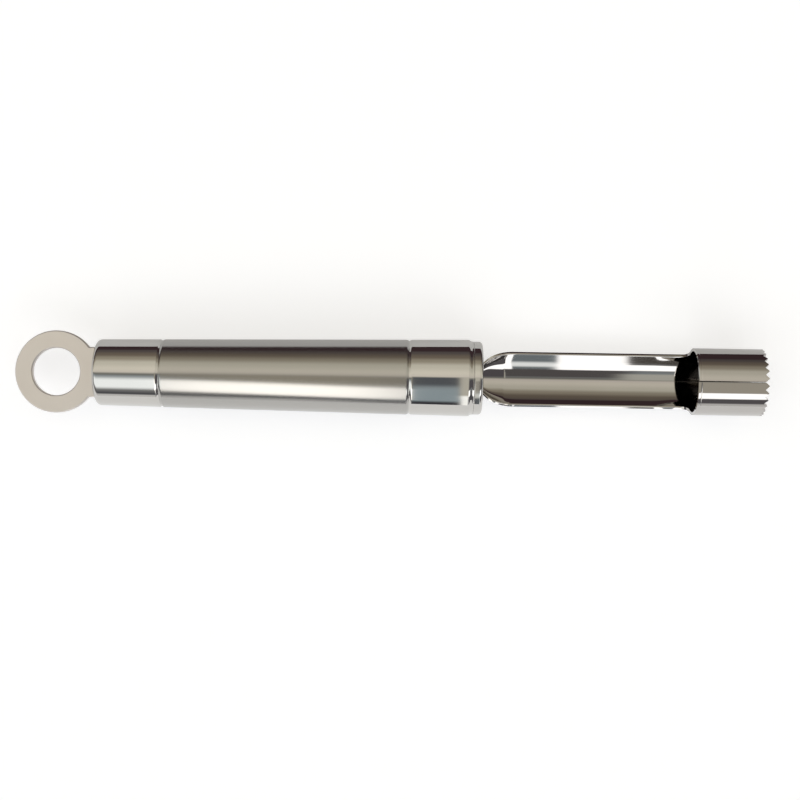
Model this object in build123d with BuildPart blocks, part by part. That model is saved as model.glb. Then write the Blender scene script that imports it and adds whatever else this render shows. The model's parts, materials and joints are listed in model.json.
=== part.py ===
"""Apple corer: a hollow handle with a hanging ring, and a stamped and rolled corer blade.

The tool points along +X, from the hanging ring to the teeth, and the trough opens upwards.
It lies on its tapered handle as on a table, so its axis rises a little towards the teeth.
The origin is the centre of the hanging hole, in the middle of the ring's thickness.
"""

from build123d import *
import os
from math import atan, cos, degrees, pi, radians, sin, sqrt

# Hanging ring: a flat plate ring whose neck stops against the handle and goes on inside as a tang
ring_radius = 12.1
hole_radius = 7.0
ring_thickness = 2.4
ring_edge = 0.3
neck_width = 14.8
ring_tang_width = 11.0
ring_tang_length = 14.0

# Handle: one drawn tube with a rolled rear shoulder, two rolled grooves and a rolled-in front mouth
handle_start = 12.0
handle_length = 110.7
tube_wall = 0.6
rear_radius = 9.75
front_radius = 11.36
rear_shoulder = 1.6
rear_lip = 1.85
groove_depth = 0.35
groove_half_width = 0.6
rear_groove = 19.3
front_groove = 18.9
mouth_step = 0.5
mouth_land = 0.5
mouth_slope = 0.9

# Caps: a flush disc in the rear mouth, and a turned front cap that stands proud of the tube
cap_fit = 0.05
rear_cap_thickness = 1.2
cap_reveal = 0.06
cap_flange = 2.6
cap_bevel = 0.7
cap_face = 2.0
spigot_length = 4.0
spigot_wall = 1.0
slot_clearance = 0.1

# Corer blade: one sheet, stamped and rolled
sheet = 0.9
blade_radius = 9.9
trough_edge_angle = 56.0
trough_floor_angle = 28.0
trough_length = 52.5
cutter_length = 20.3
rim_fillet = 1.8
neck_gap = 0.2
neck_length = 9.5
neck_steps = 5
neck_start_turn = 20.0
tang_half_width = 4.0
tang_floor_angle = 10.0
tang_edge_angle = 88.0
tang_bottom = -8.1
tang_length = 18.0
tooth_count = 28
tooth_depth = 1.1
tooth_crest = 0.12
seam_gap = 0.3

# The tool's axis, tilted by the taper so that the handle's lowest line is level, and its planes
rest_tilt = atan((front_radius - rear_radius) / handle_length)
along = Vector(cos(rest_tilt), 0, sin(rest_tilt))
tool_axis = Axis((0, 0, 0), along)
ring_plane = Plane((0, 0, 0), x_dir=along, z_dir=(-sin(rest_tilt), 0, cos(rest_tilt)))
side_plane = Plane((0, 0, 0), x_dir=along, z_dir=(0, -1, 0))
lower_side_plane = Plane((0, 0, 0), x_dir=along, z_dir=(0, 1, 0))
cross_plane = Plane((0, 0, 0), x_dir=(0, 1, 0), z_dir=along)

# Places along the tool, each from the one before it
mouth_x = handle_start + handle_length
cap_end_x = mouth_x + cap_flange
neck_start_x = cap_end_x + neck_gap
trough_start_x = neck_start_x + neck_length
rim_x = trough_start_x + trough_length
tip_x = rim_x + cutter_length

# Place of the trough's edges
trough_half_width = blade_radius * sin(radians(trough_edge_angle))
trough_edge_z = -blade_radius * cos(radians(trough_edge_angle))

# Radii of the two mouths of the tube
rear_mouth_radius = rear_radius - rear_lip
mouth_radius = front_radius - mouth_step
spigot_radius = mouth_radius - tube_wall - cap_fit

os.makedirs("parts", exist_ok=True)


def tube_radius(x):
    """Outer radius of the handle's straight taper at x."""
    return rear_radius + (front_radius - rear_radius) * (x - handle_start) / handle_length


def groove_corners(x):
    """The three corners of one rolled groove: shoulder, root, shoulder."""
    return [
        (x - groove_half_width, tube_radius(x - groove_half_width)),
        (x, tube_radius(x) - groove_depth),
        (x + groove_half_width, tube_radius(x + groove_half_width)),
    ]


def tube_corners(inset):
    """Corners of the tube's wall from its first groove to its front mouth, at an inset from outside."""
    slope_x = mouth_x - mouth_land - mouth_slope
    outside = [
        *groove_corners(handle_start + rear_groove),
        *groove_corners(mouth_x - front_groove),
        (slope_x, tube_radius(slope_x)),
        (mouth_x - mouth_land, mouth_radius),
        (mouth_x, mouth_radius),
    ]
    return [(x, radius - inset) for x, radius in outside]


def channel(station, half_width, floor_angle, edge_angle, bottom, clearance=0.0):
    """Section of the bent sheet: a floor arc, and a side arc that turns up to the edge angle.

    A clearance makes it the slot that the sheet passes through. The two arcs stay separate edges
    where their radii meet, so that every section lofts into the next.
    """
    floor_sine = sin(radians(floor_angle))
    side_radius = (half_width - blade_radius * floor_sine) / (sin(radians(edge_angle)) - floor_sine)
    side_angle = edge_angle - floor_angle + degrees(clearance / side_radius)
    half = []
    for grow in (clearance, -sheet - clearance):
        floor = JernArc((0, bottom - grow), (1, 0), blade_radius + grow, floor_angle)
        half += [floor, JernArc(floor @ 1, floor % 1, side_radius + grow, side_angle)]
    half.append(Line(half[1] @ 1, half[3] @ 1))
    outline = half + [mirror(edge, about=Plane.YZ) for edge in half]
    return cross_plane.offset(station) * Face(Wire([edge for line in outline for edge in line.edges()]))


def tang_section(station, clearance=0.0):
    """Section of the tang, which stays the same inside the handle."""
    return channel(
        station, tang_half_width, tang_floor_angle, tang_edge_angle, tang_bottom, clearance
    )


def neck_section(turn):
    """Section of the neck at one turn of its elliptical outline, which ends at 90 degrees."""
    start = radians(neck_start_turn)
    spread = (sin(radians(turn)) - sin(start)) / (1 - sin(start))
    travel = (cos(start) - cos(radians(turn))) / cos(start)
    return channel(
        neck_start_x + neck_length * travel,
        tang_half_width + (trough_half_width - tang_half_width) * spread,
        tang_floor_angle + (trough_floor_angle - tang_floor_angle) * spread,
        tang_edge_angle + (trough_edge_angle - tang_edge_angle) * travel,
        tang_bottom - (blade_radius + tang_bottom) * travel,
    )


# Hanging ring
with BuildPart() as hanging_ring:
    with BuildSketch(ring_plane.offset(-ring_thickness / 2)):
        Circle(ring_radius)
        Rectangle(handle_start, neck_width, align=(Align.MIN, Align.CENTER))
        Circle(hole_radius, mode=Mode.SUBTRACT)
    extrude(amount=ring_thickness)
    rims = hanging_ring.faces().filter_by(ring_plane).edges()
    chamfer(rims.filter_by_position(tool_axis, -ring_radius, handle_start - ring_edge), ring_edge)
    with BuildSketch(cross_plane.offset(handle_start)):
        Rectangle(ring_tang_width, ring_thickness)
    extrude(amount=ring_tang_length)
hanging_ring.part.label = "hanging_ring"

# Handle tube, drawn below the axis so that its seam is the line on which it rests
outside, inside = tube_corners(0), tube_corners(tube_wall)
inner_start, inner_radius = handle_start + tube_wall, rear_radius - tube_wall
inner_bevel = (rear_shoulder - tube_wall) * (2 - sqrt(2))
with BuildPart() as handle_tube:
    with BuildSketch(lower_side_plane):
        with BuildLine():
            shoulder = FilletPolyline(
                (handle_start, rear_mouth_radius),
                (handle_start, rear_radius),
                outside[0],
                radius=rear_shoulder,
            )
            Polyline(
                *outside,
                *reversed(inside),
                (inner_start + inner_bevel, inner_radius),
                (inner_start, inner_radius - inner_bevel),
                (inner_start, rear_mouth_radius),
                shoulder @ 0,
            )
        make_face()
    revolve(axis=tool_axis)
handle_tube.part.label = "handle_tube"

# Rear cap
with BuildPart() as rear_cap:
    with BuildSketch(cross_plane.offset(handle_start)):
        Circle(rear_mouth_radius - cap_fit)
        Rectangle(
            ring_tang_width + 2 * slot_clearance,
            ring_thickness + 2 * slot_clearance,
            mode=Mode.SUBTRACT,
        )
    extrude(amount=rear_cap_thickness)
rear_cap.part.label = "rear_cap"

# Front cap
cap_radius = mouth_radius - cap_reveal
tang_slot = tang_section(cap_end_x - cap_face, slot_clearance)
with BuildPart() as front_cap:
    with BuildSketch(side_plane):
        with BuildLine():
            Polyline(
                (cap_end_x - cap_face, 0),
                (cap_end_x - cap_face, spigot_radius - spigot_wall),
                (mouth_x - spigot_length, spigot_radius - spigot_wall),
                (mouth_x - spigot_length, spigot_radius),
                (mouth_x, spigot_radius),
                (mouth_x, cap_radius),
                (cap_end_x - cap_bevel, cap_radius),
                (cap_end_x, cap_radius - cap_bevel),
                (cap_end_x, 0),
                close=True,
            )
        make_face()
    revolve(axis=tool_axis)
    extrude(tang_slot, amount=cap_face, dir=along, mode=Mode.SUBTRACT)
front_cap.part.label = "front_cap"

# One V gap between two teeth, at the top of the cutter
tooth_pitch = 2 * pi * blade_radius / tooth_count
with BuildPart() as tooth_gap:
    with BuildSketch(ring_plane):
        gap_half_width = (tooth_pitch - tooth_crest) / 2
        with BuildLine():
            Polyline(
                (tip_x - tooth_depth, 0),
                (tip_x, gap_half_width),
                (tip_x + tooth_depth, gap_half_width),
                (tip_x + tooth_depth, -gap_half_width),
                (tip_x, -gap_half_width),
                close=True,
            )
        make_face()
    extrude(amount=blade_radius + sheet)

# Corer blade
tang_end = tang_section(neck_start_x)
neck_turn_step = (90 - neck_start_turn) / neck_steps
neck_sections = [neck_section(90 - neck_turn_step * step) for step in range(neck_steps, -1, -1)]
with BuildPart() as corer_blade:
    extrude(tang_end, amount=tang_length, dir=-along)
    loft(neck_sections)
    with BuildSketch(cross_plane.offset(trough_start_x)):
        Circle(blade_radius)
        Circle(blade_radius - sheet, mode=Mode.SUBTRACT)
    extrude(amount=trough_length + cutter_length)
    with BuildSketch(cross_plane.offset(trough_start_x)):
        with BuildLine():
            Polyline(
                (-2 * trough_half_width, 2 * trough_edge_z),
                (0, 0),
                (2 * trough_half_width, 2 * trough_edge_z),
                (2 * blade_radius, 2 * blade_radius),
                (-2 * blade_radius, 2 * blade_radius),
                close=True,
            )
        make_face()
    extrude(amount=trough_length, mode=Mode.SUBTRACT)
    rim_edges = corer_blade.edges().filter_by_position(tool_axis, rim_x - sheet, rim_x + sheet)
    fillet(rim_edges.group_by(SortBy.LENGTH)[0], rim_fillet)
    gaps = [tooth_gap.part.rotate(tool_axis, 360 * tooth / tooth_count) for tooth in range(tooth_count)]
    add(gaps, mode=Mode.SUBTRACT)
    with BuildSketch(cross_plane.offset(rim_x)):
        Rectangle(seam_gap, blade_radius + sheet, align=(Align.CENTER, Align.MIN))
    extrude(amount=cutter_length, mode=Mode.SUBTRACT)
corer_blade.part.label = "corer_blade"

export_step(hanging_ring.part, "parts/hanging_ring.step")
export_step(handle_tube.part, "parts/handle_tube.step")
export_step(rear_cap.part, "parts/rear_cap.step")
export_step(front_cap.part, "parts/front_cap.step")
export_step(corer_blade.part, "parts/corer_blade.step")
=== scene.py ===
"""Apple corer: fine meshes, steel finishes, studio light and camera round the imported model.

Lengths are in millimetres and angles in degrees unless a comment says otherwise. Meshes are drawn in
the tool's own frame: x runs along the tool from the centre of the hanging hole, y to its left side,
and z up out of the trough.
"""

import json
from math import asin, atan, cos, degrees, pi, radians, sin, sqrt, tan

import bmesh
import bpy
from mathutils import Matrix, Vector


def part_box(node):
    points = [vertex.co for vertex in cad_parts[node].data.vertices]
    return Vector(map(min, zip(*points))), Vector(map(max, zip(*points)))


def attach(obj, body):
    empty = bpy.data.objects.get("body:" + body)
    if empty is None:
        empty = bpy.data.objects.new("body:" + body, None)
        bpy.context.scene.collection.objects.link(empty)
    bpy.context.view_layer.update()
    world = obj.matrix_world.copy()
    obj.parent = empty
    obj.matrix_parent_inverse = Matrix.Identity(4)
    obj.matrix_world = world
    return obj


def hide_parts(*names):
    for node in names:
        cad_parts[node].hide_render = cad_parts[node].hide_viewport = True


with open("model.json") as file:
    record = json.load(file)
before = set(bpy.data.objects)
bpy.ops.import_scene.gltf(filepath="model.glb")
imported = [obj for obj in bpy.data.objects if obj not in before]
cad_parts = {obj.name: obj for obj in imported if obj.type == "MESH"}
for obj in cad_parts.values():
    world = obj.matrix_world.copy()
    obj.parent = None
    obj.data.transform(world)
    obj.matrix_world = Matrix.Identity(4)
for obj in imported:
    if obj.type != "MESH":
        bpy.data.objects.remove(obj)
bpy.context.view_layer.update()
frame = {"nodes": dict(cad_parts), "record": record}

MM = 0.001

# Handle tube
handle_start = 12.0
handle_length = 110.7
tube_wall = 0.6
rear_radius = 9.75
front_radius = 11.36
rear_shoulder = 1.6
rear_lip = 1.85
lip_edge = 0.15
groove_depth = 0.35
groove_half_width = 0.6
groove_shoulder = 0.8
groove_root = 0.15
rear_groove = 19.3
front_groove = 18.9
mouth_step = 0.5
mouth_land = 0.5
mouth_slope = 0.9
mouth_blend = 1.2

# Front cap
cap_fit = 0.05
cap_reveal = 0.06
cap_flange = 2.6
cap_corner = 1.0
cap_face = 2.0
cap_pinhole = 0.01  # left open on the axis by the lathe
spigot_length = 4.0
spigot_wall = 1.0

# Blade
sheet = 0.9
blade_radius = 9.9
trough_edge_angle = 56.0
trough_floor_angle = 28.0
trough_length = 52.5
cutter_length = 20.3
rim_fillet = 1.8
neck_gap = 0.2
neck_length = 9.5
neck_start_turn = 20.0
tang_half_width = 4.0
tang_floor_angle = 10.0
tang_edge_angle = 88.0
tang_bottom = -8.1
tang_length = 18.0
tooth_count = 28
tooth_depth = 1.1
tooth_crest = 0.12
seam_gap = 0.3
seam_foot = 0.1
edge_round = 0.45
score_inset = 0.8
score_half_width = 0.12
score_depth = 0.04

# How the neck falls and opens into the trough, and where the trough's walls close towards the rim
wall_angle = 47.0
steep_end = 6.7
bend_end = 7.2
ease_end = 11.0
last_slope = 0.042
wall_blend = 9.0

# Fineness of the meshes
turn_steps = 256
arc_steps = 10
fillet_steps = 8
edge_steps = 5
neck_rows = 56
ease_rows = 12
trough_rows = 8
blend_rows = 12
rim_shares = (0, 0.15, 0.85, 1)  # rows from the rim to the score line, as shares of the way
cutter_rows = 8
tooth_rows = 3
guard_inset = 0.12
guard_least = 0.6
sharp_from = 35
bevel_from = 40
bevel_width = 0.09
bevel_segments = 2

# Steel: smudges, a fine grain along the tool, and the satin zone between the two grooves
smudge_scale = 60.0
smudge_detail = 4.0
smudge_shade = 0.93
smudge_half_width = 0.25
smudge_roughness = (0.85, 1.15)
grain_stretch = (0.06, 1, 1)
grain_scale = 2500.0
grain_detail = 2.0
grain_roughness = 0.3
grain_depth = 0.02
satin_edge = 0.3
satin_roughness = 0.17
satin_shade = 0.74

# Camera: its place from the centre of the hanging hole, along the picture's own axes
camera_roll = 0.92
camera_right = 101.2
camera_up = -8.4
camera_distance = 413.0
camera_sensor = 36.0
camera_lens = 63.0
camera_clip = 10.0

# Floor and flag. The floor's half side is in metres.
floor_half = 40.0
floor_colour = (0.575, 0.585, 0.615)
floor_glow = 0.60
# Share of the floor's glow that the steel reflects on the floor's far side: a painted shade in the steel's
# reflection. The camera sees the floor evenly.
floor_far_side = 0.5
far_side_edge = 20.0
flag_feet = [(-300, 150), (330, 30)]
flag_top = 14.0
flag_colour = (0.060, 0.036, 0.040)

# Tent: its radius is in metres. Its light runs across the tool, by the angle from overhead that is
# positive towards the tool's right side.
tent_radius = 40.0
tent_segments = (64, 32)
tent_foot = -0.1
across_limit = 110.0
tent_ramp = [
    (-99, (0.050, 0.036, 0.040)),
    (-88, (0.060, 0.042, 0.045)),
    (-80, (0.125, 0.105, 0.100)),
    (-64, (0.22, 0.18, 0.14)),
    (-50, (0.45, 0.40, 0.31)),
    (-33, (0.83, 0.79, 0.66)),
    (-12, (1.0, 0.94, 0.80)),
    (-3, (0.95, 0.88, 0.77)),
    (6, (0.27, 0.27, 0.25)),
    (14, (0.42, 0.46, 0.48)),
    (64, (0.26, 0.26, 0.26)),
    (76, (0.12, 0.12, 0.13)),
    (88, (0.13, 0.13, 0.14)),
    (97, (0.80, 0.79, 0.77)),
]

# The light is a little dimmer where the blade shows it, ahead of this angle
blade_ahead = 2.9
blade_ahead_edge = 0.3
blade_dimming = 0.12

# Cards in the tent: across from and to, ahead from and to, how soft their low, high and ahead edges
# are, and their light. Ahead is the angle at which the camera sees the place in the steel that shows
# the card. An edge across that is a pair slants from its first angle to its second over slant_ahead.
slant_ahead = (-9.5, 2.5)
handle_cards = [
    (((20, 40), (57, 61)), (-60, 0.55), (9, 8, 0.15), (1.45, 1.5, 1.5)),
    ((1, (20, 41)), (-9.6, 0.55), (6, 3, 0.15), (0.52, 0.47, 0.37)),
    (((20, 41), (61, 79)), (-9.6, 0.55), (3, 3, 0.15), (2.9, 2.8, 2.65)),
    ((81, 106), (-60, -1.5), (3, 3, 1.5), (0.80, 0.79, 0.77)),
    ((0, 30), (0.58, 2.62), (3, 8, 0.1), (0.13, 0.14, 0.155)),
    ((30, 90), (0.58, 2.62), (14, 5, 0.1), (0.40, 0.48, 0.52)),
    ((78, 96), (0.58, 2.62), (6, 3, 0.1), (0.06, 0.06, 0.07)),
    ((-1, 66), (2.62, 5.6), (3, 6, 0.1), (0.74, 0.70, 0.60)),
    ((56, 99), (2.66, 3.2), (4, 3, 0.1), (1.7, 1.7, 1.65)),
]
blade_cards = [
    ((10, 42), (3.4, 9.6), (3, 4, 0.6), (0.14, 0.13, 0.13)),
    ((8, 42), (17.5, 60), (3, 4, 1.0), (0.13, 0.12, 0.13)),
    ((42, 110), (3.4, 6.7), (6, 3, 0.3), (0.26, 0.30, 0.32)),
    ((50, 65), (3.4, 6.8), (5, 5, 0.6), (1.4, 1.45, 1.45)),
    ((3, 26), (9.2, 12.0), (3, 4, 0.6), (0.66, 0.65, 0.58)),
    ((3, 40), (11.7, 17.5), (3, 4, 0.5), (0.56, 0.52, 0.44)),
    ((40, 108), (6.6, 9.5), (3, 3, 0.12), (2.3, 2.3, 2.3)),
    ((40, 60), (6.6, 40), (2, 2, 0.4), (2.3, 2.3, 2.3)),
    ((66, 90), (9.5, 11.7), (2, 3, 0.3), (0.12, 0.11, 0.10)),
    ((62, 85), (11.7, 40), (2, 3, 0.2), (0.15, 0.14, 0.15)),
    ((80, 106), (11.8, 20), (3, 3, 0.3), (0.80, 0.79, 0.77)),
]

# Places along the tool and radii that follow from the values above
mouth_x = handle_start + handle_length
cap_end_x = mouth_x + cap_flange
neck_start_x = cap_end_x + neck_gap
trough_start_x = neck_start_x + neck_length
rim_x = trough_start_x + trough_length
tip_x = rim_x + cutter_length
mouth_radius = front_radius - mouth_step
trough_half_width = blade_radius * sin(radians(trough_edge_angle))

# The tool's frame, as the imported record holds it: the hanging hole's axis stands across the tool.
# The tilt is in radians.
hole_axis = Vector(frame["record"]["mounts"][0]["axis"])
along = Vector((hole_axis.z, 0, -hole_axis.x))
side = Vector((0, 1, 0))
tool = Matrix((along, side, hole_axis)).transposed().to_4x4()
tool_tilt = atan(along.z / along.x)


def placed(name, data):
    """A new object of a mesh or a camera, in the scene."""
    new = bpy.data.objects.new(name, data)
    bpy.context.collection.objects.link(new)
    return new


def show(name, bm, node):
    """Puts a mesh drawn in the tool's frame in place of one CAD node."""
    bmesh.ops.transform(bm, matrix=tool @ Matrix.Scale(MM, 4), verts=bm.verts)
    bmesh.ops.recalc_face_normals(bm, faces=bm.faces)
    mesh = bpy.data.meshes.new(name)
    bm.to_mesh(mesh)
    bm.free()
    mesh.shade_smooth()
    mesh.set_sharp_from_angle(angle=radians(sharp_from))
    shown = placed(name, mesh)
    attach(shown, "root")
    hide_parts(node)
    return shown


def rounded(corners):
    """Closed outline through corners of (x, y, radius), with an arc of that radius at each."""
    outline = []
    for before, corner, after in zip(corners[-1:] + corners[:-1], corners, corners[1:] + corners[:1]):
        point, radius = Vector(corner[:2]), corner[2]
        if not radius:
            outline.append(point)
            continue
        back = (Vector(before[:2]) - point).normalized()
        onward = (Vector(after[:2]) - point).normalized()
        half = back.angle(onward) / 2
        centre = point + (back + onward).normalized() * radius / sin(half)
        first = point + back * radius / tan(half) - centre
        last = point + onward * radius / tan(half) - centre
        for step in range(arc_steps + 1):
            outline.append(centre + first.lerp(last, step / arc_steps).normalized() * radius)
    return outline


def guarded(outline):
    """The outline with a point more near both ends of each long side, which keeps its shading true."""
    points = []
    for point, after in zip(outline, outline[1:] + outline[:1]):
        points.append(point)
        length = (after - point).length
        if length > guard_least:
            share = guard_inset / length
            points += [point.lerp(after, share), after.lerp(point, share)]
    return points


def lathe(outline):
    """Mesh of a closed outline of (x, radius) points turned about the tool's axis."""
    outline = guarded(outline)
    bm = bmesh.new()
    rings = []
    for step in range(turn_steps):
        turn = 2 * pi * step / turn_steps
        rings.append([bm.verts.new((p.x, p.y * sin(turn), p.y * cos(turn))) for p in outline])
    for ring, after in zip(rings, rings[1:] + rings[:1]):
        for k in range(len(outline)):
            bm.faces.new((ring[k - 1], ring[k], after[k], after[k - 1]))
    return bm


def tube_radius(x):
    """Outer radius of the handle's straight taper at x."""
    return rear_radius + (front_radius - rear_radius) * (x - handle_start) / handle_length


def tube_corners(inset):
    """Corners of the handle tube's wall from rear to front, at an inset from its outside."""
    corners = [
        (handle_start + inset, rear_radius - rear_lip, lip_edge),
        (handle_start + inset, rear_radius - inset, rear_shoulder - inset),
    ]
    for x in (handle_start + rear_groove, mouth_x - front_groove):
        corners += [
            (x - groove_half_width, tube_radius(x - groove_half_width) - inset, groove_shoulder),
            (x, tube_radius(x) - groove_depth - inset, groove_root),
            (x + groove_half_width, tube_radius(x + groove_half_width) - inset, groove_shoulder),
        ]
    slope_x = mouth_x - mouth_land - mouth_slope
    return corners + [
        (slope_x, tube_radius(slope_x) - inset, mouth_blend),
        (mouth_x - mouth_land, mouth_radius - inset, 0),
        (mouth_x, mouth_radius - inset, lip_edge),
    ]


def make_handle():
    """The handle's tube: one wall from the rear shoulder to the front mouth."""
    return lathe(rounded(tube_corners(0) + tube_corners(tube_wall)[::-1]))


def make_cap():
    """The turned front cap: a face on a hollow spigot, without the slot, which the blade fills."""
    spigot_radius = mouth_radius - tube_wall - cap_fit
    cap_radius = mouth_radius - cap_reveal
    return lathe(rounded([
        (cap_end_x - cap_face, cap_pinhole, 0),
        (cap_end_x - cap_face, spigot_radius - spigot_wall, 0),
        (mouth_x - spigot_length, spigot_radius - spigot_wall, 0),
        (mouth_x - spigot_length, spigot_radius, 0),
        (mouth_x, spigot_radius, 0),
        (mouth_x, cap_radius, lip_edge),
        (cap_end_x, cap_radius, cap_corner),
        (cap_end_x, cap_pinhole, 0),
    ]))


def neck_fall(x):
    """Share of the neck's way down at x: straight, then a short bend, then easing out in the trough."""
    bend, ease = bend_end - steep_end, ease_end - bend_end
    last = last_slope / (blade_radius + tang_bottom)
    steep = (1 - last * (bend + ease) / 2) / (steep_end + bend / 2)
    run = x - neck_start_x
    in_bend = min(1, max(0, (run - steep_end) / bend))
    in_ease = min(1, max(0, (run - bend_end) / ease))
    share = steep * min(run, steep_end) + bend * (steep * in_bend + (last - steep) * in_bend**2 / 2)
    return share + ease * last * (in_ease - in_ease**2 / 2)


def neck_form(turn):
    """Place, half width, floor angle, edge angle and bottom of the bent sheet at one turn of the neck."""
    start = radians(neck_start_turn)
    spread = (sin(radians(turn)) - sin(start)) / (1 - sin(start))
    travel = (cos(start) - cos(radians(turn))) / cos(start)
    x = neck_start_x + neck_length * travel
    fall = neck_fall(x)
    return (
        x,
        tang_half_width + (trough_half_width - tang_half_width) * spread,
        tang_floor_angle + (trough_floor_angle - tang_floor_angle) * spread,
        tang_edge_angle + (wall_angle - tang_edge_angle) * fall,
        tang_bottom - (blade_radius + tang_bottom) * fall,
    )


def trough_form(x):
    """Form of the trough at x: its walls stand a little open, and close to the round towards the rim."""
    closing = min(1, max(0, (x - (rim_x - rim_fillet - wall_blend)) / wall_blend))
    closing = closing * closing * (3 - 2 * closing)
    left = 1 - neck_fall(x)
    edge_angle = (
        wall_angle + (trough_edge_angle - wall_angle) * closing + (tang_edge_angle - wall_angle) * left
    )
    bottom = (blade_radius + tang_bottom) * left - blade_radius
    return x, trough_half_width, trough_floor_angle, edge_angle, bottom


def sheet_point(form, angle, depth):
    """Point of the bent sheet at a depth from outside, at an angle from the bottom of the round trough.

    The inside is rounded off along the sheet's two long edges.
    """
    x, half_width, floor_angle, edge_angle, bottom = form
    from_edge = blade_radius * radians(trough_edge_angle - abs(angle))
    if depth and from_edge < edge_round:
        depth -= edge_round - sqrt(edge_round**2 - (edge_round - max(0, from_edge)) ** 2)
    floor, edge = radians(floor_angle), radians(edge_angle)
    sign = -1 if angle < 0 else 1
    share = abs(angle) / trough_edge_angle
    floor_share = trough_floor_angle / trough_edge_angle
    if share <= floor_share:
        bend = floor * share / floor_share
        radius, y, z = blade_radius, 0, bottom + blade_radius
    else:
        bend = floor + (edge - floor) * (share - floor_share) / (1 - floor_share)
        radius = (half_width - blade_radius * sin(floor)) / (sin(edge) - sin(floor))
        y = (blade_radius - radius) * sin(floor)
        z = bottom + blade_radius - (blade_radius - radius) * cos(floor)
    return sign * (y + (radius - depth) * sin(bend)), z - (radius - depth) * cos(bend)


def tooth_reach(angle):
    """Where the cutter ends at one angle, between the tips of the teeth and the roots of their gaps."""
    pitch = 360 / tooth_count
    from_root = abs((angle + pitch / 2) % pitch - pitch / 2)
    gap_half = (pitch - degrees(tooth_crest / blade_radius)) / 2
    return tip_x - tooth_depth * max(0, 1 - from_root / gap_half)


def rim_start(angle):
    """Where the cutter starts at one angle: at its rim, or along the fillet beside the trough."""
    rise = blade_radius * radians(abs(angle) - trough_edge_angle)
    if rise >= rim_fillet:
        return rim_x
    return rim_x - rim_fillet + sqrt(max(0, rim_fillet**2 - (rim_fillet - max(0, rise)) ** 2))


def blade_columns():
    """Angles from the trough's bottom round to both sides of the seam, with every tooth's corners.

    They stand closer beside the rim's fillets and at the trough's rounded edges.
    """
    pitch = 360 / tooth_count
    crest = degrees(tooth_crest / blade_radius) / 2
    seam = 180 - degrees(asin(seam_gap / 2 / blade_radius))
    fillet_span = degrees(rim_fillet / blade_radius)
    edge_span = degrees(edge_round / blade_radius)
    half = {0, trough_edge_angle, seam}
    for tooth in range(tooth_count // 2):
        root, tip = tooth * pitch, (tooth + 0.5) * pitch
        half |= {root, (2 * root + tip) / 3, (root + 2 * tip) / 3, tip - crest, tip + crest}
        half |= {root + pitch / 2 + pitch / 6, root + pitch / 2 + pitch / 3}
    for step in range(1, fillet_steps + 1):
        half.add(trough_edge_angle + fillet_span * (step / fillet_steps) ** 2)
    for step in range(1, edge_steps + 1):
        half.add(trough_edge_angle - edge_span * (step / edge_steps) ** 2)
    half = sorted(angle for angle in half if angle <= seam)
    return [-angle for angle in reversed(half[1:])] + half


def open_forms():
    """Forms of the open sheet from the tang's end through neck and trough to the rim's fillets."""
    turn_range = 90 - neck_start_turn
    forms = [neck_form(neck_start_turn + turn_range * row / neck_rows) for row in range(neck_rows + 1)]
    tang = (neck_start_x - tang_length, *forms[0][1:])
    blend_x = rim_x - rim_fillet - wall_blend
    ease_x = neck_start_x + ease_end
    places = [trough_start_x + (ease_x - trough_start_x) * row / ease_rows for row in range(1, ease_rows + 1)]
    places += [ease_x + (blend_x - ease_x) * row / trough_rows for row in range(1, trough_rows + 1)]
    places += [blend_x + wall_blend * row / blend_rows for row in range(1, blend_rows)]
    return [tang, *forms, *[trough_form(x) for x in places]]


def cutter_line(angle):
    """Places along the cutter at one angle, with the depth of the score line there."""
    start, reach = rim_start(angle), tooth_reach(angle)
    score_x = rim_x + score_inset
    teeth_x = tip_x - 2 * tooth_depth
    before = score_x - score_half_width
    rows = [(start + (before - start) * share, 0) for share in rim_shares]
    rows += [(score_x, score_depth)] + [(score_x + k * score_half_width, 0) for k in (1, 2)]
    last = rows[-1][0]
    rows += [(last + (teeth_x - last) * k / cutter_rows, 0) for k in range(1, cutter_rows + 1)]
    return rows + [(teeth_x + (reach - teeth_x) * k / tooth_rows, 0) for k in range(1, tooth_rows + 1)]


def make_blade():
    """The one sheet: tang, neck, trough and cutter, as an outer and an inner skin joined at all edges."""
    columns = blade_columns()
    forms = open_forms()
    closed = 180 - (180 - columns[-1]) * seam_foot
    bm = bmesh.new()
    skins = []
    for depth, angles in ((0, columns), (sheet, [-closed, *columns[1:-1], closed])):
        skin = []
        for angle in angles:
            line = []
            if abs(angle) <= trough_edge_angle:
                line = [(form[0], *sheet_point(form, angle, depth)) for form in forms]
            for x, dip in cutter_line(angle):
                radius = blade_radius - (depth or dip)
                line.append((x, radius * sin(radians(angle)), -radius * cos(radians(angle))))
            skin.append([bm.verts.new(point) for point in line])
        skins.append(skin)
    outer, inner = skins
    partner = {a: b for one, two in zip(outer, inner) for a, b in zip(one, two)}
    for first, second in zip(outer, outer[1:]):
        short = min(len(first), len(second))
        first, second = first[-short:], second[-short:]
        for a, b, c, d in zip(first, second, second[1:], first[1:]):
            bm.faces.new((a, b, c, d))
            bm.faces.new([partner[v] for v in (d, c, b, a)])
    walls = [edge for edge in bm.edges if edge.is_boundary and edge.verts[0] in partner]
    for edge in walls:
        a, b = edge.verts
        bm.faces.new((a, b, partner[b], partner[a]))
    return bm


def nodes_of(name):
    """A new material, its tree, and the tree's only node, the output."""
    material = bpy.data.materials.new(name)
    material.use_nodes = True
    tree = material.node_tree
    tree.nodes.clear()
    return material, tree, tree.nodes.new("ShaderNodeOutputMaterial")


def maths(tree, operation, *values):
    """A Math node on numbers or sockets, and its result."""
    node = tree.nodes.new("ShaderNodeMath")
    node.operation = operation
    for socket, value in zip(node.inputs, values):
        if isinstance(value, (int, float)):
            socket.default_value = value
        else:
            tree.links.new(value, socket)
    return node.outputs[0]


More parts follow.
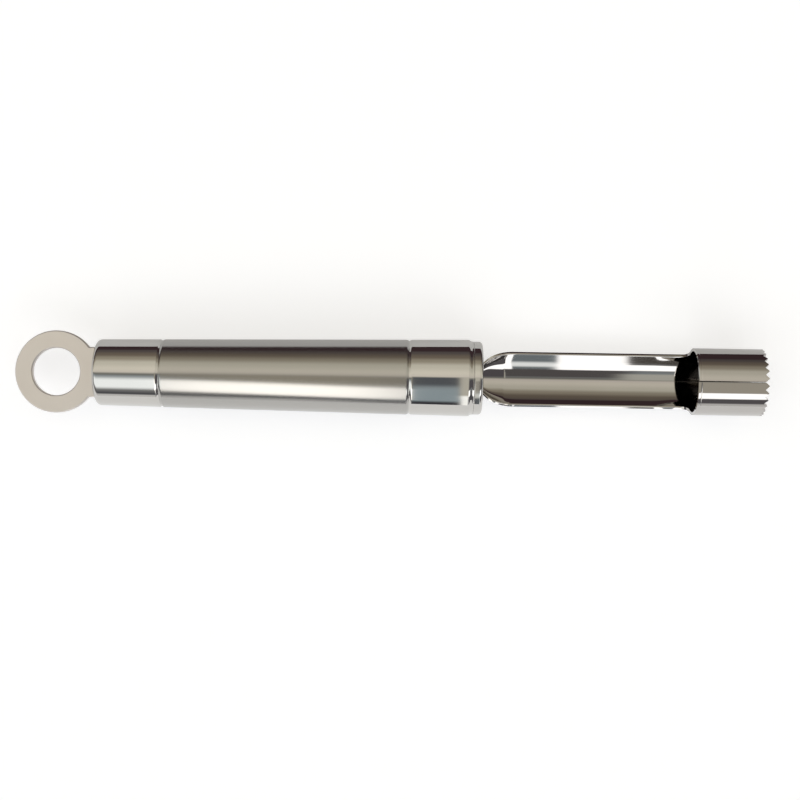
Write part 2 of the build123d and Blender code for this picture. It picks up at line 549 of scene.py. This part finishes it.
def ramp_between(tree, value, start, end, low, high):
    """A straight ramp of a socket's value between two places, held beyond them."""
    node = tree.nodes.new("ShaderNodeMapRange")
    tree.links.new(value, node.inputs["Value"])
    for socket, number in zip(node.inputs[1:5], (start, end, low, high)):
        socket.default_value = number
    return node.outputs["Result"]


def step_up(tree, value, middle, half_width, low=0.0, high=1.0):
    """A smooth step of a socket's value from low to high, round a middle."""
    step = ramp_between(tree, value, middle - half_width, middle + half_width, low, high)
    step.node.interpolation_type = "SMOOTHSTEP"
    return step


def step_down(tree, value, middle, half_width):
    """A smooth step of a socket's value from one to nought, round a middle."""
    return step_up(tree, value, middle, half_width, 1.0, 0.0)


def mix_colour(tree, share, below, above):
    """A blend of two colours or sockets."""
    node = tree.nodes.new("ShaderNodeMix")
    node.data_type = "RGBA"
    tree.links.new(share, node.inputs["Factor"])
    for socket, value in zip((node.inputs[6], node.inputs[7]), (below, above)):
        if isinstance(value, tuple):
            socket.default_value = (*value, 1)
        else:
            tree.links.new(value, socket)
    return node.outputs[2]


def noise(tree, vector, scale, detail):
    """A noise of one scale and detail on a vector."""
    node = tree.nodes.new("ShaderNodeTexNoise")
    node.inputs["Scale"].default_value = scale
    node.inputs["Detail"].default_value = detail
    tree.links.new(vector, node.inputs["Vector"])
    return node.outputs["Fac"]


def stretched(tree, vector, factors, turn=0.0):
    """A vector scaled by factors, after a turn about Y in radians."""
    node = tree.nodes.new("ShaderNodeMapping")
    node.inputs["Rotation"].default_value = (0, turn, 0)
    node.inputs["Scale"].default_value = factors
    tree.links.new(vector, node.inputs["Vector"])
    return node.outputs["Vector"]


def own_place(tree):
    """A point's place in its object's own coordinates."""
    return tree.nodes.new("ShaderNodeTexCoord").outputs["Object"]


def axes_of(tree, vector):
    """The three parts of a vector."""
    node = tree.nodes.new("ShaderNodeSeparateXYZ")
    tree.links.new(vector, node.inputs[0])
    return node.outputs


def steel(name, colour, roughness, satin=None, bump=0.02):
    """Steel with smudges and a fine grain, and with a satin zone between two places along x."""
    material, tree, output = nodes_of(name)
    shader = tree.nodes.new("ShaderNodeBsdfPrincipled")
    shader.inputs["Metallic"].default_value = 1.0
    tree.links.new(shader.outputs[0], output.inputs["Surface"])
    coords = stretched(tree, own_place(tree), (1, 1, 1), tool_tilt)
    smudge = noise(tree, coords, smudge_scale, smudge_detail)
    grain = noise(tree, stretched(tree, coords, grain_stretch), grain_scale, grain_detail)
    base = mix_colour(tree, smudge, tuple(smudge_shade * c for c in colour), colour)
    smooth, rough = (roughness * factor for factor in smudge_roughness)
    finish = step_up(tree, smudge, 0.5, smudge_half_width, smooth, rough)
    if satin:
        start, end = satin
        x = axes_of(tree, coords)[0]
        within = maths(
            tree, "MULTIPLY",
            step_up(tree, x, start * MM, satin_edge * MM),
            step_down(tree, x, end * MM, satin_edge * MM),
        )
        finish = maths(tree, "MULTIPLY_ADD", within, satin_roughness - roughness, finish)
        base = mix_colour(tree, within, base, tuple(satin_shade * c for c in colour))
    finish = maths(tree, "MULTIPLY_ADD", grain, roughness * grain_roughness, finish)
    tree.links.new(base, shader.inputs["Base Color"])
    tree.links.new(finish, shader.inputs["Roughness"])
    height = tree.nodes.new("ShaderNodeBump")
    height.inputs["Strength"].default_value = bump
    height.inputs["Distance"].default_value = grain_depth * MM
    tree.links.new(grain, height.inputs["Height"])
    tree.links.new(height.outputs[0], shader.inputs["Normal"])
    return material


def make_floor():
    """A pale floor that renders near white and keeps the object's shadow. From below it isn't there."""
    mesh = bpy.data.meshes.new("floor")
    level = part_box("handle_tube")[0].z
    signs = [(-1, -1), (1, -1), (1, 1), (-1, 1)]
    mesh.from_pydata([(x * floor_half, y * floor_half, level) for x, y in signs], [], [(0, 1, 2, 3)])
    floor = placed("floor", mesh)
    material, tree, output = nodes_of("floor")
    paper = tree.nodes.new("ShaderNodeBsdfDiffuse")
    paper.inputs["Color"].default_value = (*floor_colour, 1)
    glow = tree.nodes.new("ShaderNodeEmission")
    path = tree.nodes.new("ShaderNodeLightPath").outputs
    y = axes_of(tree, own_place(tree))[1]
    # Painted shade in the steel's reflection: glossy rays see the floor's glow dimmed on its far side, and
    # camera rays see it whole
    far_side = step_up(tree, y, 0.0, far_side_edge * MM, 1.0, floor_far_side)
    seen = maths(tree, "MULTIPLY_ADD", path["Is Glossy Ray"], far_side, path["Is Camera Ray"])
    seen = maths(tree, "ADD", seen, path["Is Transmission Ray"])
    tree.links.new(maths(tree, "MULTIPLY", seen, floor_glow), glow.inputs["Strength"])
    both = tree.nodes.new("ShaderNodeAddShader")
    tree.links.new(paper.outputs[0], both.inputs[0])
    tree.links.new(glow.outputs[0], both.inputs[1])
    backfacing = tree.nodes.new("ShaderNodeNewGeometry").outputs["Backfacing"]
    from_below = maths(tree, "MULTIPLY", path["Is Camera Ray"], backfacing)
    choice = tree.nodes.new("ShaderNodeMixShader")
    tree.links.new(from_below, choice.inputs[0])
    tree.links.new(both.outputs[0], choice.inputs[1])
    tree.links.new(tree.nodes.new("ShaderNodeBsdfTransparent").outputs[0], choice.inputs[2])
    tree.links.new(choice.outputs[0], output.inputs["Surface"])
    mesh.materials.append(material)


def across_light(tree, across):
    """The tent's light by the angle across the tool."""
    ramp = tree.nodes.new("ShaderNodeValToRGB")
    ramp.color_ramp.interpolation = "EASE"
    stops = ramp.color_ramp.elements
    while len(stops) > 1:
        stops.remove(stops[0])
    for k, (angle, colour) in enumerate(tent_ramp):
        position = (angle + across_limit) / (2 * across_limit)
        stop = stops.new(position) if k else stops[0]
        stop.position = position
        stop.color = (*colour, 1)
    shifted = maths(tree, "ADD", across, across_limit)
    tree.links.new(maths(tree, "DIVIDE", shifted, 2 * across_limit), ramp.inputs["Fac"])
    return ramp.outputs["Color"]


def with_card(tree, light, across, ahead, card):
    """The light with one card laid over it."""
    across_range, ahead_range, (soft_low, soft_high, soft_ahead), colour = card
    from_edges = []
    for edge in across_range:
        if isinstance(edge, tuple):
            edge = ramp_between(tree, ahead, *slant_ahead, *edge)
        from_edges.append(maths(tree, "SUBTRACT", across, edge))
    inside = maths(
        tree, "MULTIPLY",
        maths(
            tree, "MULTIPLY",
            step_up(tree, from_edges[0], 0.0, soft_low),
            step_down(tree, from_edges[1], 0.0, soft_high),
        ),
        maths(
            tree, "MULTIPLY",
            step_up(tree, ahead, ahead_range[0], soft_ahead),
            step_down(tree, ahead, ahead_range[1], soft_ahead),
        ),
    )
    return mix_colour(tree, inside, light, colour)


def make_tent():
    """The studio's light: a wide dome that shines softly, with light and dark cards on it."""
    bm = bmesh.new()
    u_segments, v_segments = tent_segments
    bmesh.ops.create_uvsphere(bm, u_segments=u_segments, v_segments=v_segments, radius=tent_radius)
    low = [face for face in bm.faces if face.calc_center_median().z < tent_foot * tent_radius]
    bmesh.ops.delete(bm, geom=low, context="FACES")
    mesh = bpy.data.meshes.new("tent")
    bm.to_mesh(mesh)
    bm.free()
    tent = placed("tent", mesh)
    tent.visible_camera = False
    material, tree, output = nodes_of("tent")
    x, y, z = axes_of(tree, own_place(tree))
    across = maths(tree, "DEGREES", maths(tree, "ARCTAN2", maths(tree, "MULTIPLY", y, -1.0), z))
    squares = maths(tree, "ADD", maths(tree, "MULTIPLY", y, y), maths(tree, "MULTIPLY", z, z))
    ahead = maths(tree, "DEGREES", maths(tree, "ARCTAN2", x, maths(tree, "SQRT", squares)))
    light = across_light(tree, across)
    dimmer = step_up(tree, ahead, blade_ahead, blade_ahead_edge, 0.0, blade_dimming)
    light = mix_colour(tree, dimmer, light, (0, 0, 0))
    # The tilted blade and the tapered handle turn what they reflect, so ahead is set right for each
    half_across = maths(tree, "RADIANS", maths(tree, "DIVIDE", across, 2.0))
    taper_shift = maths(tree, "COSINE", half_across)
    tilt_shift = maths(tree, "COSINE", maths(tree, "RADIANS", across))
    on_blade = maths(tree, "MULTIPLY_ADD", tilt_shift, degrees(tool_tilt), ahead)
    on_handle = maths(tree, "MULTIPLY_ADD", taper_shift, 2 * degrees(tool_tilt), on_blade)
    for card in handle_cards:
        light = with_card(tree, light, across, on_handle, card)
    for card in blade_cards:
        light = with_card(tree, light, across, on_blade, card)
    glow = tree.nodes.new("ShaderNodeEmission")
    tree.links.new(light, glow.inputs["Color"])
    tree.links.new(glow.outputs[0], output.inputs["Surface"])
    mesh.materials.append(material)


def make_flag():
    """A dark flag on the floor at the tool's left, which only the steel shows, as in the photograph."""
    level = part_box("handle_tube")[0].z
    rear, front = [(x * MM, y * MM) for x, y in flag_feet]
    top = flag_top * MM
    mesh = bpy.data.meshes.new("flag")
    corners = [(*rear, level), (*front, level), (*front, top), (*rear, top)]
    mesh.from_pydata(corners, [], [(0, 1, 2, 3)])
    flag = placed("flag", mesh)
    flag.visible_camera = flag.visible_diffuse = flag.visible_shadow = False
    material, tree, output = nodes_of("flag")
    glow = tree.nodes.new("ShaderNodeEmission")
    glow.inputs["Color"].default_value = (*flag_colour, 1)
    tree.links.new(glow.outputs[0], output.inputs["Surface"])
    mesh.materials.append(material)


def make_camera():
    """Looks square at the tool from above, as the photograph does, with its small roll."""
    roll = radians(camera_roll)
    right = cos(roll) * along + sin(roll) * side
    up = cos(roll) * side - sin(roll) * along
    place = (right * camera_right + up * camera_up + hole_axis * camera_distance) * MM
    camera = placed("camera", bpy.data.cameras.new("camera"))
    camera.data.sensor_width = camera_sensor
    camera.data.lens = camera_lens
    camera.data.clip_start = camera_clip * MM
    camera.matrix_world = Matrix.Translation(place) @ Matrix((right, up, hole_axis)).transposed().to_4x4()
    bpy.context.scene.camera = camera


make_camera()
make_floor()
make_tent()
make_flag()
world = bpy.data.worlds.new("world")
world.use_nodes = True
world.node_tree.nodes["Background"].inputs["Color"].default_value = (1, 1, 1, 1)
bpy.context.scene.world = world
bpy.context.scene.view_settings.view_transform = "Standard"

satin_zone = (handle_start + rear_groove, mouth_x - front_groove)
handle_steel = steel("handle_steel", (0.57, 0.56, 0.54), 0.03, satin_zone, bump=0.008)
cap_steel = steel("cap_steel", (0.57, 0.56, 0.54), 0.04)
blade_steel = steel("blade_steel", (0.50, 0.485, 0.47), 0.03)
ring_steel = steel("ring_steel", (0.78, 0.74, 0.71), 0.36, bump=0.1)

handle = show("handle_shell", make_handle(), "handle_tube")
handle.data.materials.append(handle_steel)
cap = show("front_plug", make_cap(), "front_cap")
cap.data.materials.append(cap_steel)
blade = show("blade_sheet", make_blade(), "corer_blade")
blade.data.materials.append(blade_steel)
bevel = blade.modifiers.new("edges", "BEVEL")
bevel.width = bevel_width * MM
bevel.segments = bevel_segments
bevel.limit_method = "ANGLE"
bevel.angle_limit = radians(bevel_from)
bevel.harden_normals = True
for node, material in (("hanging_ring", ring_steel), ("rear_cap", handle_steel)):
    held = frame["nodes"][node]
    held.data.materials.clear()
    held.data.materials.append(material)
